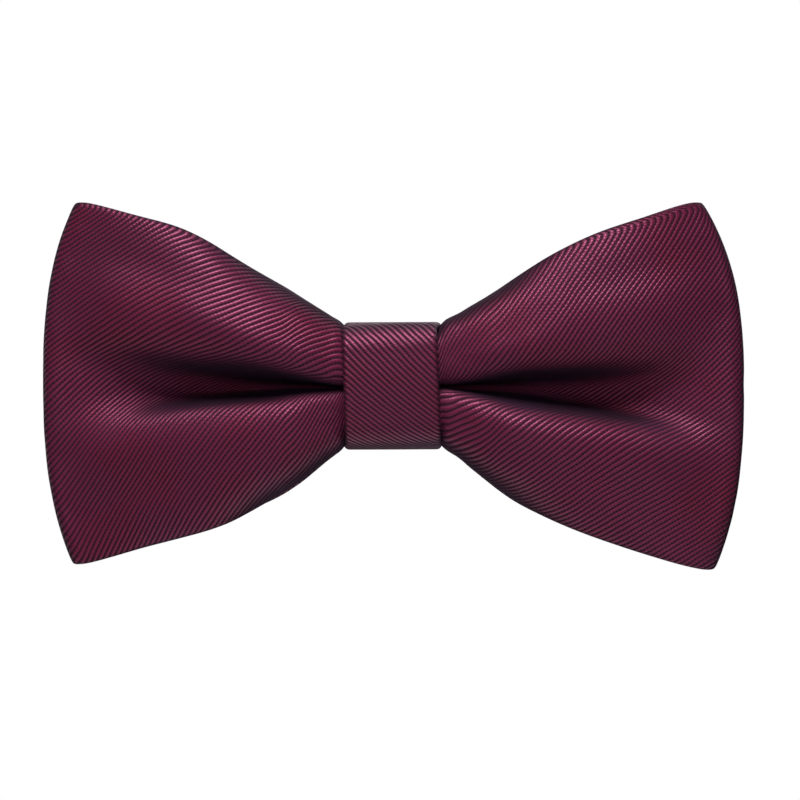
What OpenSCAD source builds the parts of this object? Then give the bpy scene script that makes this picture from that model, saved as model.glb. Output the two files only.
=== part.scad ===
// Pre-tied clip-on bow tie: a pinched loop of twill fabric, a knot band round
// its waist, and a sprung two-jaw collar clip held in the back of the band.
// +X is across the bow, the front faces -Y, +Z is up. The origin is where the
// collar bears: the middle of the clip, on the rear face of its arms.

/* [Bow] */
// Width of the bow from end fold to end fold
bow_w = 120; // [90:1:150]
// Height of the wings at their corners
bow_h = 62; // [48:1:80]
// How far each end fold bulges past its two corners
end_bulge = 6; // [2:0.5:9]
// Thickness of one ply of the bow's twill
bow_ply = 0.45; // [0.3:0.05:0.5]
// Thickness of the stiffener between the bow's two plies
bow_stiffener = 0.5; // [0.3:0.05:0.6]
// Height of the two lobes beside the valley of each wing
lobe_rise = 5.2; // [3:0.2:7]
// Half of the space between a wing's front and back panels
loop_half_gap = 2.8; // [2:0.1:3.4]

/* [Knot] */
// Width of the knot band
knot_w = 16.6; // [13:0.2:22]
// Height of the knot band, outside
knot_h = 21.7; // [18:0.1:28]
// Depth of the knot band, front to back, outside
knot_d = 14.6; // [12.4:0.1:18]
// Corner radius of the knot band, outside
knot_r = 3.2; // [2.6:0.1:4.5]
// Thickness of one ply of the knot band's twill
knot_ply = 0.45; // [0.3:0.05:0.5]
// Thickness of the stiffener inside the knot band
knot_stiffener = 0.5; // [0.3:0.05:0.6]
// Width of each hem that is folded in behind the band
knot_hem = 5.4; // [3:0.2:6]
// Length of the lap where the band's end is sewn down
lap_l = 9; // [6:0.5:12]
// Thickness of the sewing and binding threads
thread_d = 0.4; // [0.2:0.05:0.5]
// Turns of binding thread round the waist
thread_turns = 7; // [3:1:9]

/* [Clip] */
// Length of the clip from arm tip to arm tip
clip_l = 54; // [46:1:66]
// Height of the clip's arms
clip_h = 9; // [7.5:0.1:12]
// Thickness of the base plate
plate_t = 0.8; // [0.6:0.05:1]
// Thickness of the jaws' sheet
jaw_t = 0.6; // [0.5:0.05:0.8]
// Radius of the hinge pins
pin_r = 0.75; // [0.6:0.05:0.95]
// Length of the thumb tabs
tab_l = 11.5; // [8:0.5:12]
// Slope of the thumb tabs at rest
tab_angle = 24; // [20:1:27]
// Wire diameter of the torsion springs
wire_d = 0.45; // [0.3:0.05:0.55]
// Full turns of each torsion spring
spring_turns = 5; // [3:1:6]
// Length of the grip pads
pad_l = 6.4; // [4:0.2:8]

/* [Hidden] */
$fn = 48;

// Clearances
cloth_gap = 0.1;        // between one layer of cloth or thread and the next
pin_gap = 0.05;         // radial, between a pin and its bores
side_gap = 0.2;         // between a jaw and the ears beside it
swing_gap = 0.25;       // between a turning part and what it passes

// Knot band: loops of cloth, each a set distance inside the band's outer face
knot_back = -0.9;       // rear face of the band, a little in front of the arms
knot_front = knot_back - knot_d;
band_t = 2 * knot_ply + knot_stiffener + 2 * cloth_gap;
hem_inset = knot_ply + knot_stiffener + 2 * cloth_gap;
lap_t = 2 * knot_ply;
lap_z = -2;             // middle of the lap
stitch_count = 6;

// Base plate: its bridge is trapped inside the band, its arms lie at y = 0
wall_x = knot_w / 2 + 0.3;
bridge_back = knot_back - band_t - cloth_gap;
bridge_h = clip_h - 1;
arm_corner = 2.4;
ear_t = 0.7;

// Waist: the room that is left inside the band and its binding thread
thread_room = thread_d + 2 * cloth_gap;
waist_front = knot_front + band_t + thread_room;
waist_back = bridge_back - plate_t - thread_room;
waist_mid = (waist_front + waist_back) / 2;
waist_h = knot_h - 2 * (band_t + thread_room);
waist_r = 2;

// Bow loop: a flattened tube of cloth, both ends butted behind the waist
tube_t = 2 * bow_ply + bow_stiffener + 2 * cloth_gap;
butt_gap = 0.3;         // half of the space between the strip's two ends
end_r = 1.8;            // bend radius of the end folds, to mid thickness
end_mid = -6.2;         // depth of the middle of the end folds
waist_half_gap = tube_t / 2 + 2 * cloth_gap;
waist_rise = (waist_back - waist_front - tube_t) / 2 - waist_half_gap;
back_rise = 1.2;        // lobes of the back panel, away from the waist
bulge_power = 2.6;
corner_x = bow_w / 2 - end_bulge;
shoulder = 2.4;         // how far from the band the cloth reaches its full height
flat_steps = 9;
fold_steps = 8;
rows = 5;

// Jaws: each is a sheet lever, tangent to a circle round its pin's axis
spring_r = pin_r + wire_d / 2 + 0.2;
web_r = spring_r + wire_d / 2 + cloth_gap;
bore_r = pin_r + pin_gap;
flange_r = bore_r + 0.9;
pin_y = flange_r + swing_gap;
ear_r = flange_r + 0.1;
pin_x = wall_x + plate_t + ear_r + 2;
pin_head_r = pin_r + 0.35;
pin_head_t = 0.4;
jaw_w = clip_h - 2 * (ear_t + side_gap);
tip_x = clip_l / 2 - 1.6;
pad_t = 1.1;
pad_teeth = 6;
tooth_h = 0.35;
lip_l = 0.8;
tab_w = clip_h - 0.4;
tab_roll_r = 0.75;
tab_ribs = 3;
notch_l = ear_r + 0.5;
flange_gap = 0.15;
spring_z = jaw_w / 2 - jaw_t - flange_gap - wire_d / 2;
spring_leg = tab_l - 5;
base_leg = 3.4;
coil_steps = 14;        // path points in one turn of a spring
wire_sides = 6;

// ---- Helpers ----

function ease(a, b, x) = let (t = min(1, max(0, (x - a) / (b - a)))) t * t * (3 - 2 * t);
function mix(a, b, t) = a + (b - a) * t;
function unit(p) = p / norm(p);
function reversed(list) = [for (i = [len(list) - 1:-1:0]) list[i]];
function flat(lists) = [for (list = lists) each list];
function clamped(list, i) = list[min(len(list) - 1, max(0, i))];

// Two triangles for a quad, both cut along a-c, turned inside out if flip.
function quad(a, b, c, d, flip = false) =
    flip ? [[c, b, a], [d, c, a]] : [[a, b, c], [a, c, d]];

// Triangles of the skin over a row of closed rings of n points each.
function skin(first, n, count, flip = false) = [
    for (i = [0:count - 2], k = [0:n - 1])
        let (a = first + i * n, b = a + n, next = (k + 1) % n)
            each quad(a + k, b + k, b + next, a + next, flip)
];

// A point at angle a round the axis at (cx, cy), at distance r.
function around(cx, cy, r, a, z = 0) = [cx + r * cos(a), cy + r * sin(a), z];

// ---- Shape of the bow loop ----

// Half height of the strip at distance x from the middle.
function half_h(x) =
    let (f = max(0, (x - knot_w / 2) / (corner_x - knot_w / 2)),
         wing = mix(knot_h, bow_h, min(1, 1.65 * f - 0.65 * f * f)) / 2)
    mix(waist_h / 2, wing, ease(knot_w / 2, knot_w / 2 + shoulder, x));

// Where the end fold starts, for v from -1 at the bottom edge to 1 at the top.
function fold_x(v) =
    (bow_w - tube_t) / 2 - end_r - end_bulge * pow(abs(v), bulge_power);

function wing_share(x) = ease(knot_w / 2, corner_x * 0.5, x);
function end_share(x) = ease(corner_x * 0.3, corner_x, x);
function mid_y(x) = mix(waist_mid, end_mid, wing_share(x));
function half_gap(x) =
    mix(mix(waist_half_gap, loop_half_gap, wing_share(x)), end_r, end_share(x));
function rise(x, wing_rise) = mix(waist_rise, wing_rise, wing_share(x)) * (1 - end_share(x));
function lobe(v) = (1 - cos(360 * min(1, abs(v) / lobe_end_v))) / 2;

// A station is [side, s, w]. s goes from -1 at the middle to 0 at the band's edge,
// 1 where the end fold starts and 2 at its tip. w is -1 on the front panel and 1 on
// the back panel, and turns from one to the other round the fold.
panel = [-1, -0.5, each [for (i = [0:flat_steps]) pow(i / flat_steps, 1.4)]];
half_turn = concat(
    [for (s = panel) [s, -1]],
    [for (k = [1:fold_steps - 1])
        let (a = 180 * k / fold_steps) [1 + sin(a), -cos(a)]],
    [for (s = reversed(panel)) [s, 1]]
);
stations = concat(
    [for (h = reversed(half_turn)) [-1, h[0], h[1]]],
    [for (i = [1:len(half_turn) - 1]) [1, half_turn[i][0], half_turn[i][1]]]
);

function station_x(s, w, v) =
    s < 0 ? max((1 + s) * knot_w / 2, w > 0 ? butt_gap : 0) :
    s <= 1 ? mix(knot_w / 2, fold_x(v), s) : fold_x(v) + end_r * (s - 1);

// A point of the loop's middle surface.
function loop_point(side, s, w, v) =
    let (x = station_x(s, w, v),
         lobes = lobe(v) * rise(x, w < 0 ? lobe_rise : back_rise))
    [side * x, mid_y(x) + w * (half_gap(x) + lobes), v * half_h(x)];

// Rows across the strip: its two edges, the cavity's edges, then the stiffener. The
// lobes end inside the stiffener's edge, so that the strip's edges lie flat.
cavity_v = 1 - bow_ply / (waist_h / 2);
stiffener_v = cavity_v - 2 * cloth_gap / (waist_h / 2);
lobe_end_v = stiffener_v - 0.04;
row_v = [
    -1, -cavity_v,
    for (k = [-rows:rows]) stiffener_v * k / rows,
    cavity_v, 1
];
grid = [for (t = stations) [for (v = row_v) loop_point(t[0], t[1], t[2], v)]];

// Surface normals of the grid, away from the inside of the loop.
normals = [
    for (i = [0:len(grid) - 1]) [
        for (j = [0:len(row_v) - 1])
            unit(cross(clamped(grid, i + 1)[j] - clamped(grid, i - 1)[j],
                       clamped(grid[i], j + 1) - clamped(grid[i], j - 1)))
    ]
];

// One closed ring per station, through rows a to b, half of t to each side.
function sheet_rings(a, b, t, i0, i1) = [
    for (i = [i0:i1]) [
        for (j = [a:b]) grid[i][j] + normals[i][j] * t / 2,
        for (j = [b:-1:a]) grid[i][j] - normals[i][j] * t / 2
    ]
];

// ---- Bow ----

// A sheet between rows a and b that follows the loop.
module loop_sheet(a, b, t, i0, i1) {
    rings = sheet_rings(a, b, t, i0, i1);
    n = len(rings[0]);
    last = (len(rings) - 1) * n;
    ends = [
        for (k = [0:n / 2 - 2])
            each concat(quad(k, k + 1, n - 2 - k, n - 1 - k),
                        quad(last + k, last + k + 1, last + n - 2 - k, last + n - 1 - k, true))
    ];
    polyhedron(flat(rings), concat(skin(0, n, len(rings)), ends));
}

// The tube of twill: an outer skin, the cavity for the stiffener, and a ring of
// faces at each end, where the tube is open.
module bow_shell() {
    top = len(row_v) - 1;
    outer = sheet_rings(0, top, tube_t, 0, len(grid) - 1);
    inner = sheet_rings(1, top - 1, tube_t - 2 * bow_ply, 0, len(grid) - 1);
    n = 2 * (top + 1);
    m = 2 * (top - 1);
    count = len(grid);
    // Outer point beside inner point k: the outer ring has two more at each edge.
    function beside(k) = k < m / 2 ? k + 1 : k + 3;
    function rim(o, i, flip) = [
        for (k = [0:m - 1])
            let (next = (k + 1) % m, p = beside(k), q = beside(next) % n)
            each (k == m / 2 - 1 || k == m - 1
                ? concat(
                    quad(o + p, o + (p + 1) % n, i + k, i + k, flip),
                    quad(o + (p + 1) % n, o + (p + 2) % n, i + next, i + k, flip),
                    quad(o + (p + 2) % n, o + q, i + next, i + next, flip))
                : quad(o + p, o + q, i + next, i + k, flip))
    ];
    function proper(faces) = [for (f = faces) if (f[0] != f[1] && f[1] != f[2] && f[0] != f[2]) f];
    first = count * n;
    color("#6b1c3a")
        polyhedron(concat(flat(outer), flat(inner)), concat(
            skin(0, n, count),
            skin(first, m, count, true),
            proper(rim(0, first, false)),
            proper(rim((count - 1) * n, first + (count - 1) * m, true))));
}

module bow_interlining() {
    color("#d8d4cc")
        loop_sheet(2, len(row_v) - 3, bow_stiffener, 1, len(grid) - 2);
}

// A rectangle with rounded corners, about the origin.
module rounded(w, h, r) {
    square([w - 2 * r, h], center = true);
    square([w, h - 2 * r], center = true);
    for (x = [-1, 1], y = [-1, 1])
        translate([x * (w / 2 - r), y * (h / 2 - r)]) circle(r);
}

// A closed loop round the X axis from y0 to y1, h high, w wide and t thick.
module round_loop(y0, y1, h, r, t, w) {
    translate([0, (y0 + y1) / 2, 0])
        rotate([90, 0, 90])
            linear_extrude(w, center = true)
                difference() {
                    rounded(y1 - y0, h, r);
                    rounded(y1 - y0 - 2 * t, h - 2 * t, r - t);
                }
}

// Stitches that join the two butted ends of the strip, in the valley of its back.
module bow_end_stitches() {
    color("#3a1020")
        for (v = [-0.16:0.16:0.16])
            let (p = loop_point(1, -1, 1, v), q = loop_point(1, -1, 1, v + 0.01))
                translate([0, p[1], p[2]])
                    rotate([-atan2(q[1] - p[1], q[2] - p[2]), 0, 0])
                        translate([0, (tube_t + thread_d) / 2 + cloth_gap, 0])
                            cube([4 * butt_gap, thread_d, thread_d], center = true);
}

module waist_thread() {
    pitch = (knot_w - 2) / thread_turns;
    color("#3a1020")
        for (k = [0:thread_turns - 1])
            translate([(k - (thread_turns - 1) / 2) * pitch, 0, 0])
                round_loop(waist_front - cloth_gap - thread_d, waist_back + cloth_gap + thread_d,
                    waist_h + 2 * (cloth_gap + thread_d), waist_r, thread_d, thread_d);
}

// ---- Knot ----

// A loop of the band between two distances inside its outer face.
module band_loop(inset, t, w) {
    round_loop(knot_front + inset, knot_back - inset, knot_h - 2 * inset, knot_r - inset, t, w);
}

module knot_band() {
    stiffener_room = hem_inset - knot_ply;
    color("#7a2042") {
        difference() {
            band_loop(0, band_t, knot_w);
            band_loop(knot_ply, stiffener_room, knot_w - 2 * knot_ply);
            band_loop(knot_ply + cloth_gap, band_t, knot_w - 2 * knot_hem);
        }
        translate([-knot_w / 2, knot_back, lap_z - lap_l / 2])
            cube([knot_w, lap_t, lap_l]);
    }
}

module knot_interlining() {
    color("#d8d4cc")
        band_loop(knot_ply + cloth_gap, knot_stiffener, knot_w - 2 * (knot_ply + cloth_gap));
}

// Slip stitches along the lap's lower edge.
module knot_stitches() {
    pitch = (knot_w - 2) / stitch_count;
    z = lap_z - lap_l / 2;
    color("#3a1020")
        for (k = [0:stitch_count - 1])
            translate([(k - (stitch_count - 1) / 2) * pitch, knot_back, z])
                rotate([0, 90, 0])
                    translate([0, 0, -thread_d / 2])
                        linear_extrude(thread_d)
                            polygon([[0, 0], [2 * thread_d, 0], [0, lap_t]]);
}

// ---- Clip ----

// An arm of the base plate, from the wall beside the band to its rounded tip.
module base_arm() {
    rotate([90, 0, 0])
        linear_extrude(plate_t) {
            translate([wall_x, -clip_h / 2])
                square([clip_l / 2 - wall_x - arm_corner, clip_h]);
            translate([clip_l / 2 - clip_h / 2 - arm_corner, 0])
                rounded(clip_h + 2 * arm_corner, clip_h, arm_corner);
        }
}

module ear(z) {
    translate([0, 0, z]) {
        difference() {
            union() {
                translate([pin_x, pin_y, 0]) cylinder(h = ear_t, r = ear_r);
                translate([pin_x - ear_r, -plate_t, 0])
                    cube([2 * ear_r, plate_t + pin_y, ear_t]);
            }
            translate([pin_x, pin_y, -1]) cylinder(h = ear_t + 2, r = bore_r);
        }
    }
}

module base_half() {
    base_arm();
    translate([wall_x, bridge_back - plate_t, -bridge_h / 2])
        cube([plate_t, plate_t - bridge_back, bridge_h]);
    ear(clip_h / 2 - ear_t);
    ear(-clip_h / 2);
}

module clip_base() {
    color("silver") {
        translate([-wall_x - plate_t, bridge_back - plate_t, -bridge_h / 2])
            cube([2 * (wall_x + plate_t), plate_t, bridge_h]);
        base_half();
        mirror([1, 0, 0]) base_half();
    }
}

// ---- Jaw, drawn for the right side ----

// Slope of the line that passes the pin at distance r and reaches the tip.
function line_slope(dx, dy, r) = acos(r / norm([dx, dy])) + atan2(dx, dy) - 90;
web_slope = 90 - (acos(web_r / norm([tip_x - pin_x, pad_t - pin_y]))
    + atan2(pad_t - pin_y, tip_x - pin_x));

tab_dir = [-cos(tab_angle), sin(tab_angle)];
web_dir = [cos(web_slope), -sin(web_slope)];
bend_angle = 90 - (tab_angle + web_slope) / 2;
bend = [pin_x, pin_y]
    + web_r / cos((tab_angle - web_slope) / 2) * [cos(bend_angle), sin(bend_angle)];
tab_end = bend + tab_l * tab_dir;
web_end = [tip_x, pad_t];

// The sheet's two faces at one corner of its path, t apart.
module sheet_path(inner, outer, w) {
    linear_extrude(w, center = true)
        polygon(concat(inner, reversed(outer)));
}

module jaw() {
    lift = jaw_t * [sin(tab_angle), cos(tab_angle)];
    web_lift = jaw_t * [sin(web_slope), cos(web_slope)];
    outer_bend = bend + jaw_t / cos((tab_angle - web_slope) / 2)
        * [cos(bend_angle), sin(bend_angle)];
    lip = [web_end[0] + jaw_t, web_end[1] - lip_l];
    difference() {
        union() {
            sheet_path([tab_end, bend, web_end, [web_end[0], lip[1]]],
                [tab_end + lift, outer_bend, [lip[0], web_end[1] + web_lift[1]], lip], tab_w);
            translate(tab_end + lift / 2)
                cylinder(h = tab_w, r = tab_roll_r, center = true);
            for (k = [1:tab_ribs])
                translate(tab_end + lift - 1.4 * k * tab_dir)
                    cylinder(h = tab_w - 3, r = 0.3, center = true);
        }
        for (s = [-1, 1])
            translate([pin_x, pin_y + web_r + jaw_t / 2, s * (jaw_w / 2 + clip_h / 2)])
                cube([2 * notch_l, 4 * jaw_t, clip_h], center = true);
    }
    for (s = [-1, 1])
        translate([0, 0, s * (jaw_w - jaw_t) / 2])
            linear_extrude(jaw_t, center = true)
                difference() {
                    union() {
                        translate([pin_x, pin_y]) circle(flange_r);
                        translate([pin_x - flange_r, pin_y])
                            square([2 * flange_r, web_r]);
                    }
                    translate([pin_x, pin_y]) circle(bore_r);
                }
}

module jaw_pad() {
    start = tip_x - pad_l;
    rise = pad_l * tan(web_slope);
    step = pad_l / pad_teeth;
    color("gainsboro")
        linear_extrude(tab_w - 1, center = true)
            polygon([
                [start, web_end[1] + rise], [tip_x, web_end[1]],
                for (k = [pad_teeth - 1:-1:0]) each [
                    [start + (k + 1) * step, swing_gap],
                    [start + (k + 0.5) * step, swing_gap + tooth_h]
                ],
                [start, swing_gap]
            ]);
}

module pin() {
    color("gray")
        translate([pin_x, pin_y, 0]) {
            cylinder(h = clip_h, r = pin_r, center = true);
            for (s = [-1, 1])
                translate([0, 0, s * (clip_h + pin_head_t) / 2])
                    cylinder(h = pin_head_t, r = pin_head_r, center = true);
        }
}

// Path of a torsion spring: a leg on the arm, the coil, and a leg under the tab.
function spring_path() =
    let (total = 360 * spring_turns + 180 - tab_angle,
         steps = round(total / 360 * coil_steps),
         last = around(pin_x, pin_y, spring_r, 90 - tab_angle, spring_z))
    concat(
        [[pin_x - base_leg, wire_d / 2 + 0.05, -spring_z]],
        [for (k = [0:steps])
            around(pin_x, pin_y, spring_r, total * k / steps - 90,
                mix(-spring_z, spring_z, k / steps))],
        [last + spring_leg * [tab_dir[0], tab_dir[1], 0]]
    );

module wire(path) {
    n = len(path);
    rings = [
        for (i = [0:n - 1])
            let (t = unit(clamped(path, i + 1) - clamped(path, i - 1)),
                 side = unit(cross([0, 0, 1], t)), up = cross(t, side))
            [for (k = [0:wire_sides - 1])
                path[i] + wire_d / 2 * (cos(360 * k / wire_sides) * side
                    + sin(360 * k / wire_sides) * up)]
    ];
    polyhedron(flat(rings), concat(
        skin(0, wire_sides, n),
        [[for (k = [0:wire_sides - 1]) k],
         [for (k = [wire_sides - 1:-1:0]) (n - 1) * wire_sides + k]]));
}

module spring() {
    color("dimgray") wire(spring_path());
}

module left() { mirror([1, 0, 0]) children(); }

bow_shell();
bow_interlining();
bow_end_stitches();
waist_thread();
knot_band();
knot_interlining();
knot_stitches();
clip_base();
left() jaw();  // left_jaw
jaw();  // right_jaw
left() jaw_pad();  // left_jaw_pad
jaw_pad();  // right_jaw_pad
left() pin();  // left_pin
pin();  // right_pin
left() spring();  // left_spring
spring();  // right_spring
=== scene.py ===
import math

import bpy
import numpy as np
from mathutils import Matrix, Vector


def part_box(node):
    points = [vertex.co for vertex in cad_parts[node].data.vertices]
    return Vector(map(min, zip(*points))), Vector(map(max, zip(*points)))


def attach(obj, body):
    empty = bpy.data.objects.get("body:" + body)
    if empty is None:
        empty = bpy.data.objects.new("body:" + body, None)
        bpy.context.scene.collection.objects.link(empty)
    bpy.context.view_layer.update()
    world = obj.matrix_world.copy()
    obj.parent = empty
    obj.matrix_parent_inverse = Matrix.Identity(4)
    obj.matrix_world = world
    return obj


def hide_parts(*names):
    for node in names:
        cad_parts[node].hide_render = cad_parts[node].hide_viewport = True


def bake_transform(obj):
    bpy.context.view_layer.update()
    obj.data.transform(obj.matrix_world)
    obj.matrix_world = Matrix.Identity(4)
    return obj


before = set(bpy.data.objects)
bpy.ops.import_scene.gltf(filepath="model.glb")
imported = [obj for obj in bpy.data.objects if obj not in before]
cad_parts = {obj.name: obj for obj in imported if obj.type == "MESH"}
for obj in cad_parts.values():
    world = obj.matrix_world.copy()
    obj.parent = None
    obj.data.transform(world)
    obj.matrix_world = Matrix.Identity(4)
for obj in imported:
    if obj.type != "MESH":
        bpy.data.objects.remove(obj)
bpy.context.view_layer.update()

# A pre-tied bow tie, seen from the front, in metres in the CAD frame: +X across
# the bow, -Y out of its front, +Z up. The bow and knot are cloth made here; the
# clip behind them is the CAD's own steel.

MM = 0.001


def ease(a, b, x):
    """A smooth step from 0 at a to 1 at b."""
    t = np.clip((np.asarray(x, float) - a) / (b - a), 0, 1)
    return t * t * (3 - 2 * t)


def mix(a, b, t):
    return a + (b - a) * t


def box(node):
    """A CAD node's lowest and highest corners."""
    low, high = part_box(node)
    return np.array(low, float), np.array(high, float)


def path(s, values):
    """Smooth values along the way from the knot (s = 0) to the fold (s = 1)."""
    at = np.linspace(0, 1, len(values))
    i = int(np.clip(np.searchsorted(at, s, "right") - 1, 0, len(values) - 2))
    before, after = values[max(i - 1, 0)], values[min(i + 2, len(values) - 1)]
    a, b = values[i], values[i + 1]
    t = (s - at[i]) / (at[i + 1] - at[i])
    lean_a, lean_b = (b - before) / 2, (after - a) / 2
    square = 3 * (b - a) - 2 * lean_a - lean_b
    cube = 2 * (a - b) + lean_a + lean_b
    return a + t * lean_a + t * t * square + t ** 3 * cube


def in_scene(name, data):
    obj = bpy.data.objects.new(name, data)
    bpy.context.scene.collection.objects.link(obj)
    return obj


BOW_LOW, BOW_HIGH = box("bow_shell")
KNOT_LOW, KNOT_HIGH = box("knot_band")
THREAD_LOW, THREAD_HIGH = box("waist_thread")
HALF_W, HALF_H = (BOW_HIGH[0] - BOW_LOW[0]) / 2, (BOW_HIGH[2] - BOW_LOW[2]) / 2
KNOT_HALF_W, KNOT_HALF_H = (KNOT_HIGH[0] - KNOT_LOW[0]) / 2, (KNOT_HIGH[2] - KNOT_LOW[2]) / 2

# ---- The bow's strip, before it is pinched ----

STRIP_T = 1.6 * MM              # the tube of twill, flat over its stiffener
PLY_T = 0.45 * MM
STRIP_H = HALF_H                # half of the strip's height when laid flat
FOLD_R = 1.5 * MM               # bend of the end folds, at mid thickness
FOLD_Y = -6.2 * MM              # depth of the middle of the end folds
FOLD_X = HALF_W - STRIP_T / 2 - FOLD_R
BUTT_GAP = 0.3 * MM             # half of the space between the strip's two ends
KNOT_STEPS, WING_STEPS, FOLD_STEPS, ROWS = 5, 31, 6, 36
CLOSER = 1.3                    # above 1, the stations lie closer together near the knot


def strip_stations():
    """Where each station of the strip is along it: (length along the strip, x, turn).
    turn is -90 degrees on the front panel and 90 on the back panel."""
    inside = np.linspace(0, KNOT_HALF_W, KNOT_STEPS + 1)
    out = np.linspace(0, 1, WING_STEPS + 1)[1:] ** CLOSER
    wing = KNOT_HALF_W + (FOLD_X - KNOT_HALF_W) * out
    panel = np.concatenate([inside, wing])
    side = [(x, x, -90.0) for x in panel]
    for k in range(1, FOLD_STEPS):
        a = 180 * k / FOLD_STEPS
        side.append((FOLD_X + FOLD_R * math.radians(a), FOLD_X + FOLD_R * math.sin(math.radians(a)), a - 90))
    side += [(FOLD_X + math.pi * FOLD_R + FOLD_X - x, x, 90.0) for x in np.maximum(panel, BUTT_GAP)[::-1]]
    return [(-l, -x, a) for l, x, a in reversed(side[1:])] + side


STATIONS = strip_stations()

# ---- The shape it takes when the knot pinches it ----

BULGE_POWER = 2.6               # how late the end fold's outline bends back towards its corners
BACK_SHORT = 0.7 * MM           # the back panel's edges hide behind the front's
END_TRIM = {-1: 0.5 * MM, 1: 0.2 * MM}      # the end folds swell by this much as they settle


class Quarter:
    """One of the four lobes."""

    def __init__(self, edge, crest, bulge, floor, rim, askew=(0, 0, 0, 0, 0)):
        self.edge = edge        # height of its edge, at even steps from the knot to the corner
        self.floor = floor      # the valley's floor ends this far from the middle, at even steps
        self.rim = rim          # its wall ends this far from the middle
        self.crest = crest      # how far the lobe stands forward, as a share of the usual
        self.bulge = bulge * MM  # how far the end fold's middle reaches past this corner
        self.askew = askew      # pull of the weave along the strip, for its height

    def height(self, s):
        free = ease(-0.04, 0.03, s)     # how far it has come out of the knot
        return float(mix(THREAD_HIGH[2] - STRIP_T, path(min(max(s, 0), 1), self.edge) * MM, free))


# By side (-1 left, 1 right) and half (-1 low, 1 high); lengths in millimetres.
QUARTERS = {
    (-1, 1): Quarter([9.9, 15.2, 20.7, 25.6, 28.1, 30.4], 1.00, 5.0,
                     [0.8, 0.5, 0.7, 1.8, 2.5], [1.0, 4.4, 6.6, 7.6, 12],
                     (-0.26, -0.18, -0.08, -0.02, -0.06)),
    (-1, -1): Quarter([10.2, 17.2, 21.6, 24.7, 27.2, 29.5], 0.95, 4.6,
                      [0.8, 0.9, 1.8, 2.8, 2.5], [1.0, 3.6, 5.4, 8.2, 13]),
    (1, 1): Quarter([10.2, 15.2, 20.5, 24.9, 27.8, 30.4], 0.95, 6.6,
                    [0.8, 0.4, 1.2, 2.4, 2.0], [1.0, 3.9, 5.4, 7.2, 13],
                    (0, 0, -0.04, -0.12, -0.17)),
    (1, -1): Quarter([9.8, 16.5, 21.6, 25.4, 28.2, 30.4], 1.00, 4.6,
                     [0.8, 1.6, 2.8, 3.8, 2.8], [1.0, 4.3, 6.4, 8.6, 14]),
}
# Height of the front's valley on each side, in millimetres, from the knot to the fold.
VALLEY = {-1: (-0.4, -0.2, 0.3, 0.7, 1.6), 1: (-0.3, -0.3, -0.8, -1.6, -2.4)}
KNOT_CREST = -13.2 * MM         # depth of the front panel's middle surface inside the knot
SECTION_STEPS = 100             # points along each stretch of a cross-section


def section(s, quarter, back):
    """A half of a panel's cross-section, from the valley to the edge: y, z and height on
    the flat cloth at even steps, and its length. The lobe stands at crest and swells by
    belly, the valley's floor is deep behind it, and the edge rolls back by turn degrees.
    Near the knot the cloth that doesn't show is gathered in the valley and behind the
    rolled edge."""
    h = quarter.height(s)
    inside = ease(0.0, -0.06, s)        # how far it is inside the knot, where the valley is pressed shut
    s = max(s, 0.0)
    if back:
        h -= BACK_SHORT * math.sin(math.pi * min(s, 1))
        crest = path(s, [-4.7, -2.5, -2.9, -4.0, -4.7]) * MM
        deep = path(s, [1.6, 0.6, 0.2, 0.1, 0.0]) * MM
        roll = path(s, [1.8, 5.0, 12, 30, 60]) * MM
        turn = path(s, [100, 55, 25, 10, 0])
        belly, behind = 0, path(s, [6, 2, 0, 0, 0]) * MM
        wall_in = path(s, [0.8, 1.6, 2.6, 3.0, 2.5]) * MM
        wall_out = path(s, [1.0, 4.6, 7.2, 10, 14]) * MM
        sign = 1
    else:
        usual = path(s, [-12.2, -14.4, -13.2, -11.0, -7.7]) * MM
        crest = mix(usual * quarter.crest, KNOT_CREST, inside)
        deep = (path(s, [3.8, 8.6, 8.2, 5.1, 0.0]) * MM + usual - crest) * (1 - inside)
        roll = path(s, [4.5, 8.0, 12, 26, 60]) * MM
        turn = path(s, [115, 85, 42, 18, 0])
        belly, behind = path(s, [0.3, 0.9, 1.2, 0.9, 0.3]) * MM, path(s, [8, 4, 0, 0, 0]) * MM
        wall_in, wall_out = path(s, quarter.floor) * MM, path(s, quarter.rim) * MM
        sign = -1
    top = h - roll * math.sin(math.radians(min(turn, 90)))
    n = SECTION_STEPS
    t = np.linspace(0, 1, n)
    wall_z, lobe_z = mix(wall_in, wall_out, t), mix(wall_out, max(top, wall_out + MM), t)
    a = np.radians(turn * t[1:])
    z = np.concatenate([wall_in * t[:-1], wall_z, lobe_z[1:], lobe_z[-1] + roll * np.sin(a)])
    y = np.concatenate([np.full(n - 1, deep), deep * (1 - ease(0, 1, t)),
                        -belly * np.sin(math.pi * t[1:]), roll * (1 - np.cos(a))])
    y = crest - sign * y
    run = np.concatenate([[0], np.cumsum(np.hypot(np.diff(y), np.diff(z)))])
    wall_end, lobe_end = 2 * n - 2, 3 * n - 3
    lip, rim = run[wall_end], run[lobe_end + np.argmax(z[lobe_end:])]
    rim_flat = STRIP_H - min(behind, 2.5 * (run[-1] - rim))
    shared = STRIP_H * lip / run[-1]
    lip_flat = mix(max(rim_flat - (rim - lip), shared), shared, ease(0.45, 0.95, s))
    even = np.linspace(0, run[-1], ROWS // 2 + 1)
    flat = np.interp(even, [0, lip, rim, run[-1] + 1e-9], [0, lip_flat, rim_flat, STRIP_H])
    return np.interp(even, run, y), np.interp(even, run, z), flat, run[-1]


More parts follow.
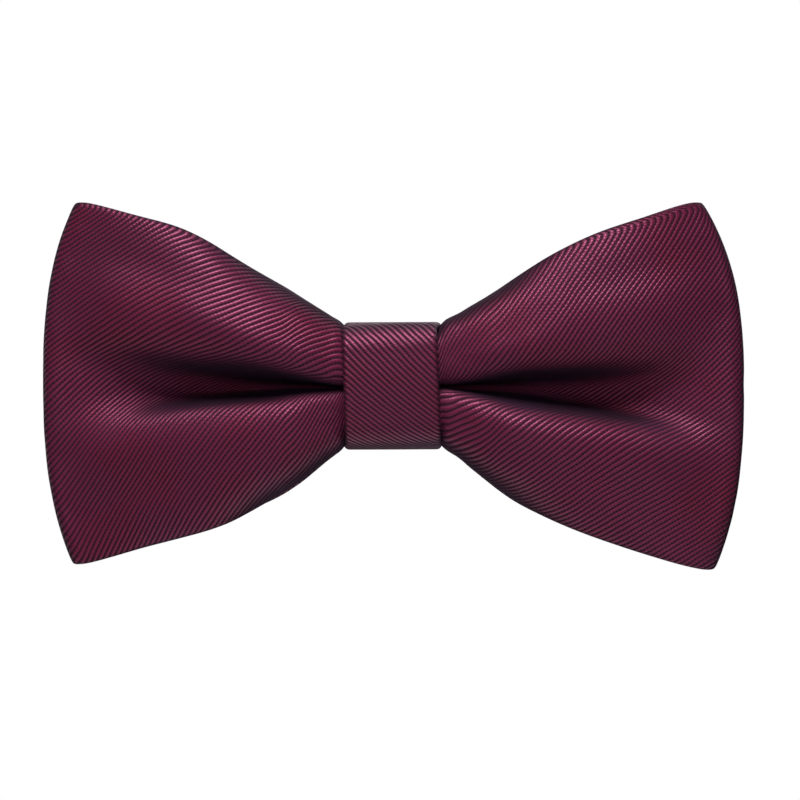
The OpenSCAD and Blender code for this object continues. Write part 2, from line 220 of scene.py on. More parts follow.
def pinched():
    """Start and rest positions of every point of the strip's middle surface, and its flat coordinates."""
    start = np.zeros((len(STATIONS), ROWS + 1, 3))
    rest = np.zeros_like(start)
    flat = np.zeros((len(STATIONS), ROWS + 1, 2))
    mid = ROWS // 2
    v = np.linspace(0, 1, mid + 1)
    for i, (length, x, turn) in enumerate(STATIONS):
        side = 1 if x > 0 or (x == 0 and length > 0) else -1
        panel_x = min(abs(x), FOLD_X)
        s = (panel_x - KNOT_HALF_W) / (FOLD_X - KNOT_HALF_W)
        around = math.sin(math.radians(turn))       # -1 on the front panel, 1 on the back
        for half in (-1, 1):
            q = QUARTERS[side, half]
            front, back = section(s, q, back=False), section(s, q, back=True)
            y, z, w, run = (mix(f, b, (around + 1) / 2) for f, b in zip(front, back))
            if s > 0:
                out = FOLD_X - END_TRIM[side] - q.bulge * v ** BULGE_POWER
                px = mix(KNOT_HALF_W, out, s) + FOLD_R * math.cos(math.radians(turn)) * (abs(x) > FOLD_X)
            else:
                px = np.full_like(v, panel_x)
            lean = path(max(s, 0), VALLEY[side]) * MM * (1 - around) / 2
            rows = slice(mid, None) if half > 0 else slice(mid, None, -1)
            start[i, rows] = np.stack([side * px, y, half * z + lean * (1 - z / z.max()) ** 2], 1)
            w = w * half
            askew = path(max(s, 0), q.askew) * w
            rest[i, rows] = np.stack([np.full_like(v, x), np.full_like(v, FOLD_Y + FOLD_R * around),
                                      half * v * run], 1)
            flat[i, rows] = np.stack([length + askew * (1 - around) / 2, w], 1)
    return start, rest, flat


def grid_mesh(name, points):
    n, m = points.shape[:2]
    faces = [(i * m + j, (i + 1) * m + j, (i + 1) * m + j + 1, i * m + j + 1)
             for i in range(n - 1) for j in range(m - 1)]
    mesh = bpy.data.meshes.new(name)
    mesh.from_pydata(points.reshape(-1, 3).tolist(), [], faces)
    return in_scene(name, mesh)


SIM_SCALE = 100.0               # the strip is settled this many times larger
PINCH_IN = 0.5 * MM             # the pinch holds the cloth up to this far inside the knot's side
FOLD_REACH, FOLD_HOLD = 4 * MM, 0.25        # the end folds are held this near them, and this firmly


def settle(start, rest, hold, frames=24):
    """Lets the strip find its shape between the knot's pinch and its end folds."""
    sheet = grid_mesh("settling_strip", start * SIM_SCALE)
    sheet.shape_key_add(name="Basis")
    key = sheet.shape_key_add(name="flat", from_mix=False)
    key.data.foreach_set("co", (rest * SIM_SCALE).ravel())
    key.value = 0
    group = sheet.vertex_groups.new(name="held")
    for i, weight in enumerate(hold.ravel()):
        if weight > 0:
            group.add([i], float(weight), "REPLACE")
    cloth = sheet.modifiers.new("cloth", "CLOTH")
    settings = cloth.settings
    settings.quality = 10
    settings.mass = 0.2
    settings.air_damping = 4
    settings.tension_stiffness = 60
    settings.compression_stiffness = 40
    settings.shear_stiffness = 12
    settings.bending_stiffness = 5
    settings.tension_damping = settings.compression_damping = settings.shear_damping = 10
    settings.bending_damping = 2
    settings.vertex_group_mass = "held"
    settings.pin_stiffness = 1
    settings.rest_shape_key = key
    settings.effector_weights.gravity = 0
    cloth.collision_settings.use_collision = False
    cloth.point_cache.frame_start, cloth.point_cache.frame_end = 1, frames
    scene = bpy.context.scene
    for f in range(1, frames + 1):
        scene.frame_set(f)
    shown = sheet.evaluated_get(bpy.context.evaluated_depsgraph_get())
    out = np.zeros(start.size, np.float32)
    shown.data.vertices.foreach_get("co", out)
    scene.frame_set(1)
    bpy.data.objects.remove(sheet)
    return out.reshape(start.shape).astype(float) / SIM_SCALE


def eased(points, along, along_rounds=4, across_rounds=1):
    """Takes the smallest dents out of the wings. The pinch, the end folds and the edges'
    heights stay."""
    s = (along - KNOT_HALF_W) / (FOLD_X - KNOT_HALF_W)
    free = (ease(0.03, 0.2, s) * ease(1.0, 0.9, s))[:, None, None]
    for _ in range(along_rounds):
        level = (points[:-2] + 2 * points[1:-1] + points[2:]) / 4
        points[1:-1] = mix(points[1:-1], level, free[1:-1])
    for _ in range(across_rounds):
        level = (points[:, :-2] + 2 * points[:, 1:-1] + points[:, 2:]) / 4
        points[:, 1:-1] = mix(points[:, 1:-1], level, free)
    return points


def bow_surface():
    """The settled strip's middle surface, and its flat coordinates."""
    start, rest, flat = pinched()
    along = np.array([abs(x) for _, x, _ in STATIONS])
    hold = np.zeros(start.shape[:2])
    hold[along < KNOT_HALF_W - PINCH_IN] = 1
    ends = ease(FOLD_X - FOLD_REACH, FOLD_X, along)
    hold = np.maximum(hold, FOLD_HOLD * ends[:, None])
    return eased(settle(start, rest, hold), along), flat


def normals_of(points):
    along = np.gradient(points, axis=0)
    across = np.gradient(points, axis=1)
    n = np.cross(along, across)
    return n / np.linalg.norm(n, axis=2, keepdims=True)


def shell(points, flat, t):
    """A closed sheet t thick round a middle surface, with rounded edges."""
    n = normals_of(points)
    edge_steps = 3
    rings, coords = [], []
    for i in range(len(points)):
        p, m = points[i], n[i]
        out_top = p[-1] - p[-2]
        out_top -= m[-1] * out_top.dot(m[-1])
        out_top /= np.linalg.norm(out_top)
        out_low = p[0] - p[1]
        out_low -= m[0] * out_low.dot(m[0])
        out_low /= np.linalg.norm(out_low)
        front = p + m * t / 2
        back = (p - m * t / 2)[::-1]
        arc = [math.pi * k / (edge_steps + 1) for k in range(1, edge_steps + 1)]
        top = np.array([p[-1] + t / 2 * (math.cos(a) * m[-1] + math.sin(a) * out_top) for a in arc])
        low = np.array([p[0] + t / 2 * (-math.cos(a) * m[0] + math.sin(a) * out_low) for a in arc])
        f = flat[i]
        lift = np.array([t / 2 * a for a in arc])
        rings.append(np.concatenate([front, top, back, low]))
        coords.append(np.concatenate([
            f,
            np.stack([np.full(edge_steps, f[0, 0]), f[-1, 1] + lift], 1),
            np.stack([f[:, 0], 2 * f[-1, 1] + t * 1.5 - f[:, 1]], 1)[::-1],
            np.stack([np.full(edge_steps, f[0, 0]), f[0, 1] - lift[::-1]], 1),
        ]))
    return np.array(rings), np.array(coords)


def new_object(name, verts, faces, uvs):
    mesh = bpy.data.meshes.new(name)
    mesh.from_pydata(np.asarray(verts).tolist(), [], faces)
    mesh.uv_layers.new(name="Flat").data.foreach_set("uv", np.array(uvs, np.float32).ravel())
    mesh.polygons.foreach_set("use_smooth", [True] * len(faces))
    mesh.update()
    return in_scene(name, mesh)


def ring_mesh(name, rings, coords, inner=None):
    """A tube of closed rings, its flat coordinates as a UV map. Its two ends are closed,
    or open on to a cavity with the inner rings as its skin."""
    n, m = rings.shape[:2]
    faces, uvs = [], []

    def skin(first, flip):
        for i in range(n - 1):
            for j in range(m):
                k = (j + 1) % m
                quad = [(i, j), (i + 1, j), (i + 1, k), (i, k)]
                at = [coords[q] for q in quad]
                if k == 0:              # the seam takes its own side's coordinates
                    step = coords[i, j] - coords[i, j - 1]
                    at[2], at[3] = at[1] + step, at[0] + step
                order = (3, 2, 1, 0) if flip else (0, 1, 2, 3)
                faces.append(tuple(first + quad[q][0] * m + quad[q][1] for q in order))
                uvs.extend(at[q] for q in order)

    def cap(i, order):
        base = i * m
        if inner is None:
            quads = [(j, j + 1, m - 2 - j, m - 1 - j) for j in range(m // 2 - 1)]
        else:
            quads = [(j, (j + 1) % m, n * m + (j + 1) % m, n * m + j) for j in range(m)]
        for quad in quads:
            faces.append(tuple(base + q for q in quad[::order]))
            uvs.extend(coords[i, q % m] for q in quad[::order])

    skin(0, False)
    verts = rings.reshape(-1, 3)
    if inner is not None:
        verts = np.concatenate([verts, inner.reshape(-1, 3)])
        skin(n * m, True)
    cap(0, 1)
    cap(n - 1, -1)
    return new_object(name, verts, faces, uvs)


ROUND_END = [(0.4, 0.9), (0.8, 0.55)]       # its rings' sizes and places ahead, in radii


def tubes(name, paths, r, sides=10):
    """Round threads or wires, one along each path, with rounded ends."""
    verts, faces, uvs = [], [], []
    w = 2 * math.pi * r / sides
    for line in paths:
        line = np.array(line, float)
        along = np.gradient(line, axis=0)
        along /= np.linalg.norm(along, axis=1)[:, None]
        up = np.cross(along[0], [0.3, 0.2, 1])
        length = np.concatenate([[0], np.cumsum(np.linalg.norm(np.diff(line, axis=0), axis=1))])
        rings = []
        for k, (p, t) in enumerate(zip(line, along)):
            up = up - t * up.dot(t)
            up /= np.linalg.norm(up)
            side = np.cross(t, up)
            here = [(1, 0)]
            if k == 0:
                here = [(size, -ahead) for size, ahead in ROUND_END] + here
            elif k == len(line) - 1:
                here = here + ROUND_END[::-1]
            for size, ahead in here:
                rings.append((p + t * ahead * r, up, side, size * r, length[k] + ahead * r))
        first = len(verts)
        for p, u, v, size, _ in rings:
            for q in range(sides):
                a = 2 * math.pi * q / sides
                verts.append(p + size * (math.cos(a) * u + math.sin(a) * v))
        for i in range(len(rings) - 1):
            low, high = first + i * sides, first + (i + 1) * sides
            near, far = rings[i][4], rings[i + 1][4]
            for q in range(sides):
                k = (q + 1) % sides
                faces.append((low + q, low + k, high + k, high + q))
                uvs += [(q * w, near), ((q + 1) * w, near), ((q + 1) * w, far), (q * w, far)]
        last = first + (len(rings) - 1) * sides
        faces += [tuple(first + q for q in range(sides))[::-1], tuple(last + q for q in range(sides))]
        uvs += [(0, rings[0][4])] * sides + [(0, rings[-1][4])] * sides
    return new_object(name, verts, faces, uvs)


def mark_turned(obj, most=1.0):
    """Paints shade where the cloth turns away from the front and the back, into a fold or round
    an edge: the more it turns, the more of its floats give way to the dark ground, as painted shade."""
    normals = np.zeros(len(obj.data.vertices) * 3, np.float32)
    obj.data.vertices.foreach_get("normal", normals)
    away = most * ease(0.10, 0.64, 1 - np.abs(normals.reshape(-1, 3)[:, 1]))
    layer = obj.data.attributes.new("turned", "FLOAT", "POINT")
    layer.data.foreach_set("value", away.astype(np.float32))


def smooth(obj, levels=1):
    sub = obj.modifiers.new("smooth", "SUBSURF")
    sub.levels = sub.render_levels = levels


# ---- Materials ----

class Nodes:
    """A material's node tree, with short ways to add and join nodes."""

    def __init__(self, name):
        self.mat = bpy.data.materials.new(name)
        self.mat.use_nodes = True
        self.nodes, self.links = self.mat.node_tree.nodes, self.mat.node_tree.links
        self.bsdf = self.nodes["Principled BSDF"]

    def put(self, socket, value):
        if hasattr(value, "is_linked"):
            self.links.new(value, socket)
        else:
            socket.default_value = value

    def math(self, op, *values):
        node = self.nodes.new("ShaderNodeMath")
        node.operation = op
        for socket, value in zip(node.inputs, values):
            self.put(socket, value)
        return node.outputs[0]

    def noise(self, scale, where, detail=2.0, roughness=0.5):
        node = self.nodes.new("ShaderNodeTexNoise")
        self.put(node.inputs["Vector"], where)
        self.put(node.inputs["Scale"], scale)
        self.put(node.inputs["Detail"], detail)
        self.put(node.inputs["Roughness"], roughness)
        return node.outputs[0]

    def span(self, value, low, high, to_low, to_high):
        node = self.nodes.new("ShaderNodeMapRange")
        node.interpolation_type = "SMOOTHSTEP"
        for socket, v in zip(node.inputs, (value, low, high, to_low, to_high)):
            self.put(socket, v)
        return node.outputs[0]

    def blend(self, share, a, b):
        node = self.nodes.new("ShaderNodeMix")
        node.data_type = "RGBA"
        self.put(node.inputs["Factor"], share)
        self.put([i for i in node.inputs if i.name == "A" and i.type == "RGBA"][0], a)
        self.put([i for i in node.inputs if i.name == "B" and i.type == "RGBA"][0], b)
        return [o for o in node.outputs if o.type == "RGBA"][0]

    def stretched(self, where, x, y, z):
        node = self.nodes.new("ShaderNodeVectorMath")
        node.operation = "MULTIPLY"
        self.put(node.inputs[0], where)
        node.inputs[1].default_value = (x, y, z)
        return node.outputs[0]

    def bump(self, height, distance, strength=1.0):
        node = self.nodes.new("ShaderNodeBump")
        node.inputs["Strength"].default_value = strength
        node.inputs["Distance"].default_value = distance
        self.put(node.inputs["Height"], height)
        self.links.new(node.outputs[0], self.bsdf.inputs["Normal"])

    def set(self, **sockets):
        for name, value in sockets.items():
            self.put(self.bsdf.inputs[name.replace("_", " ")], value)

    def place(self):
        return self.nodes.new("ShaderNodeTexCoord").outputs["Object"]

    def flat_place(self):
        uv = self.nodes.new("ShaderNodeUVMap")
        uv.uv_map = "Flat"
        split = self.nodes.new("ShaderNodeSeparateXYZ")
        self.links.new(uv.outputs[0], split.inputs[0])
        return uv.outputs[0], split.outputs[0], split.outputs[1]


RIB_PITCH = 0.78 * MM
PICK_PITCH = 0.43 * MM          # from one weft yarn to the next
TURN_SHADE_LOSS = 0.92              # share of the floats hidden where the cloth turns away, as painted shade
WINE = ((0.120, 0.0102, 0.031), (0.103, 0.0122, 0.038))     # the floats' two shades, in patches
GROUND = ((0.013, 0.0075, 0.013, 1), (0.016, 0.0095, 0.019, 1))


def twill(name, angle, gloss, painted_light_scale):
    """Silk twill: glossy wine floats in steps along each rib, over a dull navy ground."""
    n = Nodes(name)
    uv, u, v = n.flat_place()
    c, s = math.cos(math.radians(angle)), math.sin(math.radians(angle))
    wobble = n.math("MULTIPLY", n.noise(300, uv), 1.8)
    rib_at = n.math("SUBTRACT", n.math("MULTIPLY", u, s * 2 * math.pi / RIB_PITCH),
                    n.math("MULTIPLY", v, c * 2 * math.pi / RIB_PITCH))
    rib = n.math("MULTIPLY_ADD", n.math("SINE", n.math("ADD", rib_at, wobble)), 0.5, 0.5)
    slip = n.math("MULTIPLY_ADD", n.noise(900, uv), 5.0, n.math("MULTIPLY", rib_at, 0.5))
    pick_at = n.math("MULTIPLY_ADD", v, 2 * math.pi / PICK_PITCH, slip)
    pick = n.math("MULTIPLY_ADD", n.math("SINE", pick_at), 0.5, 0.5)
    # Floats show all along a rib, more on a pick, and some reach across to the next rib.
    floats = n.math("MULTIPLY", rib, n.math("MULTIPLY_ADD", pick, 0.48, 0.60))
    bridge = n.math("MULTIPLY", n.math("SUBTRACT", 1, rib), n.math("SUBTRACT", 1, pick))
    floats = n.math("MULTIPLY_ADD", bridge, 0.32, floats)
    fibre = n.noise(1.0, n.stretched(uv, 4200, 9000, 1), 3, 0.7)
    cover_and_shade = n.span(n.math("ADD", floats, n.math("MULTIPLY_ADD", fibre, 0.7, -0.35)), 0.02, 0.80, 0, 1)
    # Painted shade: the floats fade into the dark ground where the cloth turns away from the front and the
    # back.
    turned = n.nodes.new("ShaderNodeAttribute")
    turned.attribute_name = "turned"
    cover_and_shade = n.math("MULTIPLY", cover_and_shade, n.math("MULTIPLY_ADD", turned.outputs["Fac"], -TURN_SHADE_LOSS, 1))
    patch = n.span(n.noise(60, uv, 3), 0.3, 0.7, 0, 1)
    # Painted light: the floats' colour is scaled for each piece, lighter on the bow (1.05) and darker on the
    # knot (0.78) as painted shade.
    wine = n.blend(patch, *(tuple(painted_light_scale * c for c in shade) + (1,) for shade in WINE))
    ground = n.blend(patch, *GROUND)
    n.set(Base_Color=n.blend(cover_and_shade, ground, wine),
          Roughness=n.span(cover_and_shade, 0, 1, 0.80, 0.29),
          Specular_IOR_Level=n.span(cover_and_shade, 0, 1, 0.02, gloss), Specular_Tint=(1, 0.27, 0.49, 1),
          Sheen_Weight=0.01, Sheen_Roughness=0.35, Sheen_Tint=(0.55, 0.40, 1.0, 1))
    cord = n.math("MULTIPLY", rib, n.math("MULTIPLY_ADD", pick, 0.2, 0.8))
    n.bump(n.math("ADD", cord, n.math("MULTIPLY", fibre, 0.35)), 0.12 * MM, 0.8)
    return n.mat


def felt(name):
    """Pressed interlining: pale, matt, with short fibres."""
    n = Nodes(name)
    uv, _, _ = n.flat_place()
    fibre = n.noise(1.0, n.stretched(uv, 1400, 5200, 1), 4, 0.65)
    n.set(Base_Color=n.blend(fibre, (0.50, 0.47, 0.42, 1), (0.74, 0.71, 0.66, 1)),
          Roughness=0.95, Sheen_Weight=0.2)
    n.bump(fibre, 0.08 * MM, 0.8)
    return n.mat


def thread(name):
    """Two-ply sewing thread: its twist runs round it in slanted turns."""
    n = Nodes(name)
    _, u, v = n.flat_place()
    twist = n.math("SINE", n.math("ADD", n.math("MULTIPLY", u, 2 * 2 * math.pi / (0.9 * MM)),
                                  n.math("MULTIPLY", v, 2 * math.pi / (0.5 * MM))))
    ply = n.span(twist, -1, 1, 0, 1)
    n.set(Base_Color=n.blend(ply, (0.012, 0.004, 0.009, 1), (0.10, 0.016, 0.035, 1)),
          Roughness=n.span(ply, 0, 1, 0.7, 0.45), Sheen_Weight=0.15)
    n.bump(ply, 0.06 * MM)
    return n.mat


def plated_steel(name, color, grain=(900, 900, 26000), rough=(0.22, 0.32)):
    """Nickel-plated steel: rolled grain, fine scratches, and duller spots."""
    n = Nodes(name)
    at = n.place()
    streaks = n.noise(1.0, n.stretched(at, *grain), 3, 0.6)
    cloudy = n.noise(420, at, 4, 0.6)
    spots = n.span(n.noise(1900, at, 2), 0.62, 0.74, 0, 1)
    dull = tuple(0.62 * c for c in color[:3]) + (1,)
    shade = n.blend(n.span(cloudy, 0.35, 0.7, 0, 0.5), color, dull)
    n.set(Base_Color=n.blend(spots, shade, dull), Metallic=1.0,
          Roughness=n.math("ADD", n.span(streaks, 0.3, 0.7, *rough), n.math("MULTIPLY", spots, 0.25)))
    n.bump(n.math("ADD", streaks, n.math("MULTIPLY", cloudy, 0.5)), 0.004 * MM, 0.5)
    return n.mat


def vinyl(name):
    """Soft translucent grip pads, a little dusty and yellowed in patches."""
    n = Nodes(name)
    at = n.place()
    cloudy = n.noise(700, at, 4, 0.6)
    n.set(Base_Color=n.blend(n.span(cloudy, 0.3, 0.7, 0, 1), (0.80, 0.79, 0.73, 1), (0.66, 0.66, 0.63, 1)),
          Roughness=n.span(n.noise(5200, at, 2), 0.3, 0.7, 0.38, 0.6),
          Transmission_Weight=0.15, IOR=1.45)
    n.bump(n.noise(3800, at, 3), 0.03 * MM, 0.5)
    return n.mat


THREAD = thread("sewing_thread")
FELT = felt("pressed_interlining")
SPRING_STEEL = plated_steel("spring_wire", (0.42, 0.41, 0.40, 1), rough=(0.25, 0.45))


def finish(obj, material, body, slot, *nodes):
    """Gives a piece its material and its body if it only rides, and hides the nodes it stands for. Its slot
    is not used.
    """
    obj.data.materials.append(material)
    if body:
        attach(obj, body)
    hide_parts(*nodes)


# ---- The bow and its stiffener ----

points, flat = bow_surface()
rings, coords = shell(points, flat, STRIP_T)
inner, _ = shell(points, flat, STRIP_T - 2 * PLY_T)
bow = ring_mesh("bow", rings, coords, inner)
# Painted shade where the bow turns away from the front and the back.
mark_turned(bow)
finish(bow, twill("bow_twill", 45, 0.68, 1.05), "tie", "bow_twill", "bow_shell")
smooth(bow)

STIFFENER_T = 0.5 * MM
rings, coords = shell(points[1:-1], flat[1:-1], STIFFENER_T)
bow_stiffener = ring_mesh("bow_stiffener", rings, coords)
finish(bow_stiffener, FELT, "tie", "stiffener", "bow_interlining")
smooth(bow_stiffener)

# ---- The knot: a band of twill, hemmed behind, wound once round the waist ----

BAND_T = 1.6 * MM               # the folded band, with its stiffener
HEM = 5.4 * MM                  # width of the band turned in behind each side
KNOT_BACK = -0.9 * MM           # rear of the band's first layer
LAP_T = 0.9 * MM                # the lap is pressed to this
LAP_TOP, LAP_END = 2.5 * MM, -6.5 * MM
LAP_OVERLAP = 0.02 * MM         # how far the lap presses into the layer under it
LAP_PRESS = 0.98                # and how much closer its own two layers lie
KNOT_FRONT = KNOT_LOW[1]
CORNER_R = 5.0 * MM
KNOT_BEND = -33                 # curve of the knot's ribs, in 1/m
FRONT_BULGE = 0.4 * MM          # the face's middle stands this much forward of its top and bottom
CROWN = 0.15 * MM               # and this much forward of its sides
TOP_SHIFT, LOW_SHIFT = -0.6 * MM, 0.1 * MM      # the front of the band sits a little askew
FRONT_TILT = 0.035              # rise of the knot's face for its width
FRONT_NARROW, FRONT_SHORT = 0.965, 0.955        # the face's width and height, for the band's
EDGE_R = (BAND_T - PLY_T) / 2


def band_path(steps=132):
    """The band's outer face, wound from under the lap down, round the front, over the
    top and down to the lap's end: y, z and outward normal at even steps, and length."""
    h = KNOT_HALF_H

    def corner(y, z, from_angle):
        a = np.radians(np.linspace(from_angle, from_angle - 90, 24))
        return np.stack([y + CORNER_R * np.cos(a), z + CORNER_R * np.sin(a)], 1)

    low_z, top_z = -h + CORNER_R, h - CORNER_R
    front_y, back_y = KNOT_FRONT + CORNER_R, KNOT_BACK - CORNER_R
    rise = np.linspace(low_z, top_z, 40)
    front = np.stack([KNOT_FRONT - FRONT_BULGE * (1 - (rise / top_z) ** 2), rise], 1)
    down = np.linspace(top_z, LAP_END, 40)
    over = KNOT_BACK + (LAP_T - LAP_OVERLAP) * ease(top_z, LAP_TOP + 0.4 * MM, down)
    line = np.concatenate([
        [[KNOT_BACK, LAP_TOP], [KNOT_BACK, 0]], corner(back_y, low_z, 0), corner(front_y, low_z, -90),
        front[1:-1], corner(front_y, top_z, 180), corner(back_y, top_z, 90), np.stack([over, down], 1)[1:]])
    run = np.concatenate([[0], np.cumsum(np.linalg.norm(np.diff(line, axis=0), axis=1))])
    even = np.linspace(0, run[-1], steps + 1)
    y, z = np.interp(even, run, line[:, 0]), np.interp(even, run, line[:, 1])
    dy, dz = np.gradient(y), np.gradient(z)
    for _ in range(3):                  # eases the turn from flat to corner
        dy, dz = (np.convolve(np.pad(d, 1, "edge"), [0.25, 0.5, 0.25], "valid") for d in (dy, dz))
    size = np.hypot(dy, dz)
    return y, z, -dz / size, dy / size, even


def band_rings(profile, thick):
    """Rings of a strip whose profile is (across, inward) along its middle, their flat
    coordinates, and the strip's flat length and width."""
    profile = np.array(profile)
    y, z, ny, nz, run = band_path()
    w, d = profile[:, 0], profile[:, 1]
    turn = np.gradient(profile, axis=0)
    turn /= np.linalg.norm(turn, axis=1)[:, None]
    out_w, out_d = -turn[:, 1], turn[:, 0]
    outer_w, outer_d = w - out_w * thick / 2, d - out_d * thick / 2
    inner_w, inner_d = w + out_w * thick / 2, d + out_d * thick / 2
    ring_w, ring_d = np.concatenate([outer_w, inner_w[::-1]]), np.concatenate([outer_d, inner_d[::-1]])
    across = np.concatenate([[0], np.cumsum(np.linalg.norm(np.diff(profile, axis=0), axis=1))])
    across -= across[-1] / 2
    ring_at = np.concatenate([across, across[::-1]])
    front_mid = run[np.argmin(y)]
    rings, coords = [], []
    for k in range(len(y)):
        front = float(ease(-4 * MM, -13 * MM, y[k]))
        lap = float(ease(LAP_TOP + 4 * MM, LAP_TOP, z[k])) if k > len(y) // 2 and y[k] > -3 * MM else 0.0
        depth = ring_d * mix(1, LAP_T * LAP_PRESS / BAND_T, lap)
        lift = CROWN * front * (1 - (ring_w / KNOT_HALF_W) ** 2)
        shift = front * mix(LOW_SHIFT, TOP_SHIFT, (z[k] + KNOT_HALF_H) / (2 * KNOT_HALF_H))
        x = ring_w * mix(1, FRONT_NARROW, front) + shift
        high = (z[k] + nz[k] * (lift - depth)) * mix(1, FRONT_SHORT, front) + front * FRONT_TILT * x
        rings.append(np.stack([x, y[k] + ny[k] * (lift - depth), high], 1))
        bend = KNOT_BEND * (run[k] - front_mid) ** 2 / 2 * front
        coords.append(np.stack([ring_at + bend, np.full(len(ring_at), run[k])], 1))
    # Each ring is turned round, so that the faces look outward.
    return np.array(rings)[:, ::-1], np.array(coords)[:, ::-1], run[-1], across[-1] - across[0]


def half_profile():
    """The right half of the band's folded profile, from the middle of its face to its hem."""
    edge = KNOT_HALF_W - PLY_T / 2 - EDGE_R
    face = [(w, PLY_T / 2) for w in np.linspace(0, edge, 11)]
    a = np.radians(np.linspace(90, -90, 9)[1:-1])
    fold = [(edge + EDGE_R * math.cos(t), PLY_T / 2 + EDGE_R - EDGE_R * math.sin(t)) for t in a]
    hem = [(w, BAND_T - PLY_T / 2) for w in np.linspace(edge, KNOT_HALF_W - HEM, 6)]
    return face + fold + hem


right = half_profile()
profile = [(-w, d) for w, d in reversed(right[1:])] + right
rings, coords, band_l, band_cut = band_rings(profile, PLY_T)
knot = ring_mesh("knot", rings, coords)
# Painted shade where the knot turns away from the front and the back, at three quarters strength.
mark_turned(knot, 0.75)
# The knot's copy of the twill has its floats painted darker, as shade.
finish(knot, twill("knot_twill", 137, 1.0, 0.78), "tie", "knot_twill", "knot_band")
smooth(knot)

inset = PLY_T + 0.1 * MM
felt_half = KNOT_HALF_W - inset - 0.2 * MM
felt_profile = [(w, inset + STIFFENER_T / 2) for w in np.linspace(-felt_half, felt_half, 15)]
rings, coords, felt_l, felt_cut = band_rings(felt_profile, STIFFENER_T)
knot_stiffener = ring_mesh("knot_stiffener", rings[1:-1], coords[1:-1])
finish(knot_stiffener, FELT, "tie", "stiffener", "knot_interlining")
smooth(knot_stiffener)

# ---- Threads ----

THREAD_R = 0.15 * MM
STITCHES = 6


def stitch(a, b, out, lift, steps=9):
    """A short stitch from a to b that stands off along out."""
    a, b, out = np.array(a), np.array(b), np.array(out)
    return [mix(a, b, t) + out * lift * math.sin(math.pi * t) ** 0.5 for t in np.linspace(0, 1, steps)]


lap = []
for k in range(STITCHES):
    x = (k - (STITCHES - 1) / 2) * (2 * KNOT_HALF_W - 2 * MM) / STITCHES
    slant = 0.55 * MM + 0.1 * MM * math.sin(2.3 * k)
    low, high = (x - slant, KNOT_BACK, LAP_END - 0.7 * MM), (x + slant, KNOT_BACK + LAP_T, LAP_END + 0.9 * MM)
    lap.append(stitch(low, high, (0, 1, -0.5), 0.12 * MM))
lap_stitches = tubes("lap_stitches", lap, THREAD_R)
finish(lap_stitches, THREAD, "tie", "thread", "knot_stitches")

back_line = points[-1, ROWS // 2 - 5:ROWS // 2 + 6]
ends = []
for k in range(1, len(back_line) - 1, 2):
    p = back_line[k]
    tilt = 0.25 * MM * (1 if k % 4 == 1 else -1)
    left, right = (-1.1 * MM, p[1] + STRIP_T / 2, p[2] - tilt), (1.1 * MM, p[1] + STRIP_T / 2, p[2] + tilt)
    ends.append(stitch(left, right, (0, 1, 0), 0.16 * MM))
end_stitches = tubes("end_stitches", ends, 0.12 * MM)
finish(end_stitches, THREAD, "tie", "thread", "bow_end_stitches")


def wound(turns, steps=56):
    """The binding thread, wound tightly round the bow's waist."""
    low, high = THREAD_LOW + THREAD_R, THREAD_HIGH - THREAD_R
    r = 2.1 * MM                # of the corners it turns round
    half_y, half_z, mid_y = (high[1] - low[1]) / 2, (high[2] - low[2]) / 2, (high[1] + low[1]) / 2
    ring = []
    outside = 1.5               # an oval this much larger is drawn in on to the rounded box
    for k in range(steps):
        a = 2 * math.pi * k / steps
        y, z = half_y * math.cos(a) * outside, half_z * math.sin(a) * outside
        cy, cz = np.clip(y, r - half_y, half_y - r), np.clip(z, r - half_z, half_z - r)
        far = math.hypot(y - cy, z - cz)
        ring.append((cy + r * (y - cy) / far, cz + r * (z - cz) / far))
    total = turns * steps
    line = []
    for k in range(total + 1):
        y, z = ring[k % steps]
        line.append((mix(low[0], high[0], k / total) + 0.12 * MM * math.sin(k * 0.9), mid_y + y, z))
    return line


waist = tubes("binding_thread", [wound(7)], THREAD_R)
finish(waist, THREAD, "tie", "thread", "waist_thread")

# ---- The clip: the CAD's own plates, jaws, pads and pins, and wound springs ----

PLATE = plated_steel("nickel_plate", (0.62, 0.61, 0.58, 1))
JAW_PLATE = plated_steel("nickel_jaw", (0.64, 0.63, 0.60, 1), grain=(900, 26000, 900))
PIN_STEEL = plated_steel("pin_steel", (0.60, 0.59, 0.57, 1), grain=(16000, 16000, 700), rough=(0.22, 0.40))
VINYL = vinyl("grip_vinyl")
for names, material in ((("clip_base",), PLATE), (("left_jaw", "right_jaw"), JAW_PLATE),
                        (("left_jaw_pad", "right_jaw_pad"), VINYL), (("left_pin", "right_pin"), PIN_STEEL)):
    for name in names:
        data = bpy.data.objects[name].data
        data.materials.clear()
        data.materials.append(material)

TAB_ANGLE = math.radians(24)
SPRING_TURNS = 5
SPRING_LEG = 6.5 * MM
BASE_LEG = 3.4 * MM
SIGN_OF = {"left": -1, "right": 1}


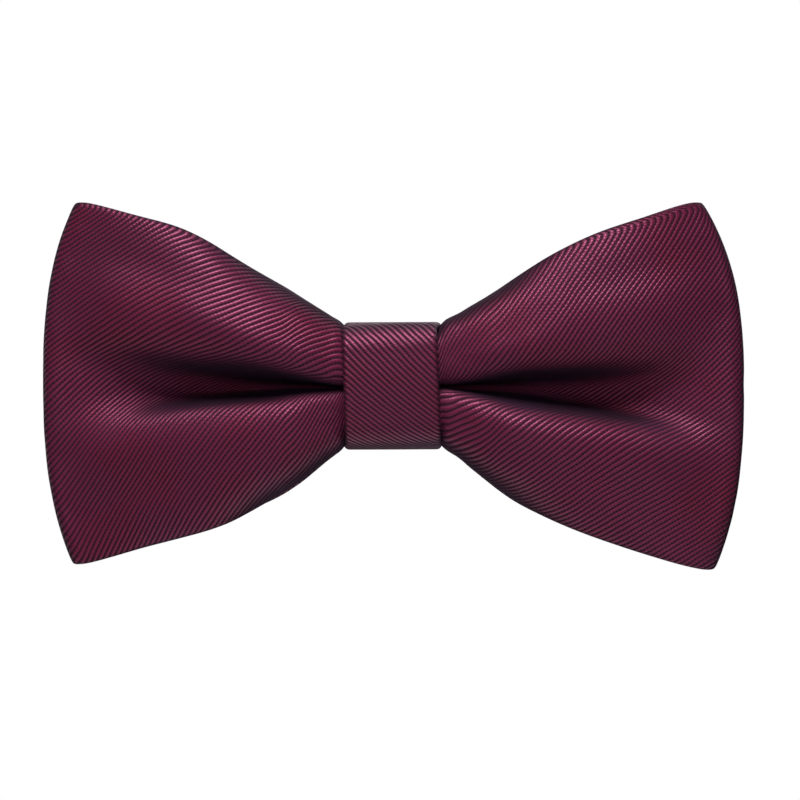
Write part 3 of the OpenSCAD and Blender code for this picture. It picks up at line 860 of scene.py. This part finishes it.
def spring(side, node):
    """A torsion spring round a pin: one leg on the clip's arm, one under the jaw's tab."""
    sign = SIGN_OF[side]
    low, high = box("right_pin")
    pin_x, pin_y = (low[0] + high[0]) / 2, (low[1] + high[1]) / 2
    low, high = box("right_spring")
    wire_r = 0.225 * MM
    half_z = high[2] - wire_r
    r = 1.175 * MM
    total = 2 * math.pi * SPRING_TURNS + math.pi - TAB_ANGLE
    steps = 28 * SPRING_TURNS
    step = 0.6 * MM             # between the points of the leg on the arm
    line = [(pin_x - BASE_LEG + step * k, wire_r + 0.05 * MM, -half_z) for k in range(4)]
    for k in range(steps + 1):
        a = total * k / steps - math.pi / 2
        line.append((pin_x + r * math.cos(a), pin_y + r * math.sin(a), mix(-half_z, half_z, k / steps)))
    last = np.array(line[-1])
    away = np.array([-math.cos(TAB_ANGLE), math.sin(TAB_ANGLE), 0])
    line += [tuple(last + away * SPRING_LEG * k / 6) for k in range(1, 7)]
    piece = tubes(side + "_wound_spring", [[(sign * x, y, z) for x, y, z in line]], wire_r)
    finish(piece, SPRING_STEEL, None, "spring_wire", node)
    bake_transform(piece)


spring("left", "left_spring")
spring("right", "right_spring")

# ---- Light, floor and camera ----


def area(name, at, towards, size, power):
    light = bpy.data.lights.new(name, "AREA")
    light.shape, light.size, light.energy = "SQUARE", size, power
    obj = in_scene(name, light)
    obj.location = at
    obj.rotation_euler = (Vector(towards) - Vector(at)).to_track_quat("-Z", "Y").to_euler()


area("key", (-0.06, -0.38, 0.86), (0, 0, 0), 0.42, 14)
area("front", (0, -1.1, 0.20), (0, 0, 0), 0.4, 2.2)
area("rear", (0.25, 0.85, 0.45), (0, 0, 0), 0.8, 9)
area("rear_left", (-0.7, 0.75, 0.10), (0, 0, 0), 0.6, 4)

world = bpy.data.worlds.new("studio")
bpy.context.scene.world = world
world.use_nodes = True
backdrop = world.node_tree.nodes["Background"]
seen = world.node_tree.nodes.new("ShaderNodeLightPath")
level = world.node_tree.nodes.new("ShaderNodeMapRange")
level.inputs["To Min"].default_value = 0.020      # what lights the object
level.inputs["To Max"].default_value = 1.0        # what the camera sees
world.node_tree.links.new(seen.outputs["Is Camera Ray"], level.inputs["Value"])
world.node_tree.links.new(level.outputs[0], backdrop.inputs["Strength"])
backdrop.inputs["Color"].default_value = (1, 1, 1, 1)
bpy.context.scene.view_settings.view_transform = "Standard"

FLOOR_R, FLOOR_Z = 0.69, -0.35      # below the front view
bpy.ops.mesh.primitive_circle_add(vertices=96, radius=FLOOR_R, fill_type="NGON", location=(0, 0, FLOOR_Z))
floor = bpy.context.object
floor.name = "floor"
paper = Nodes("pale_floor")
paper.set(Base_Color=(0.85, 0.85, 0.85, 1), Roughness=0.9)
floor.data.materials.append(paper.mat)

CAMERA_AWAY = 0.62
FRAME_W = 136.8 * MM            # what the picture's width holds at the origin
camera = bpy.data.cameras.new("camera")
camera.sensor_width = 36
camera.lens = camera.sensor_width * CAMERA_AWAY / FRAME_W
cam = in_scene("camera", camera)
cam.location = (1.2 * MM, -CAMERA_AWAY, -2.4 * MM)     # the tie sits a little left of the middle
cam.rotation_euler = (math.pi / 2, 0, 0)
bpy.context.scene.camera = cam

bpy.context.view_layer.update()
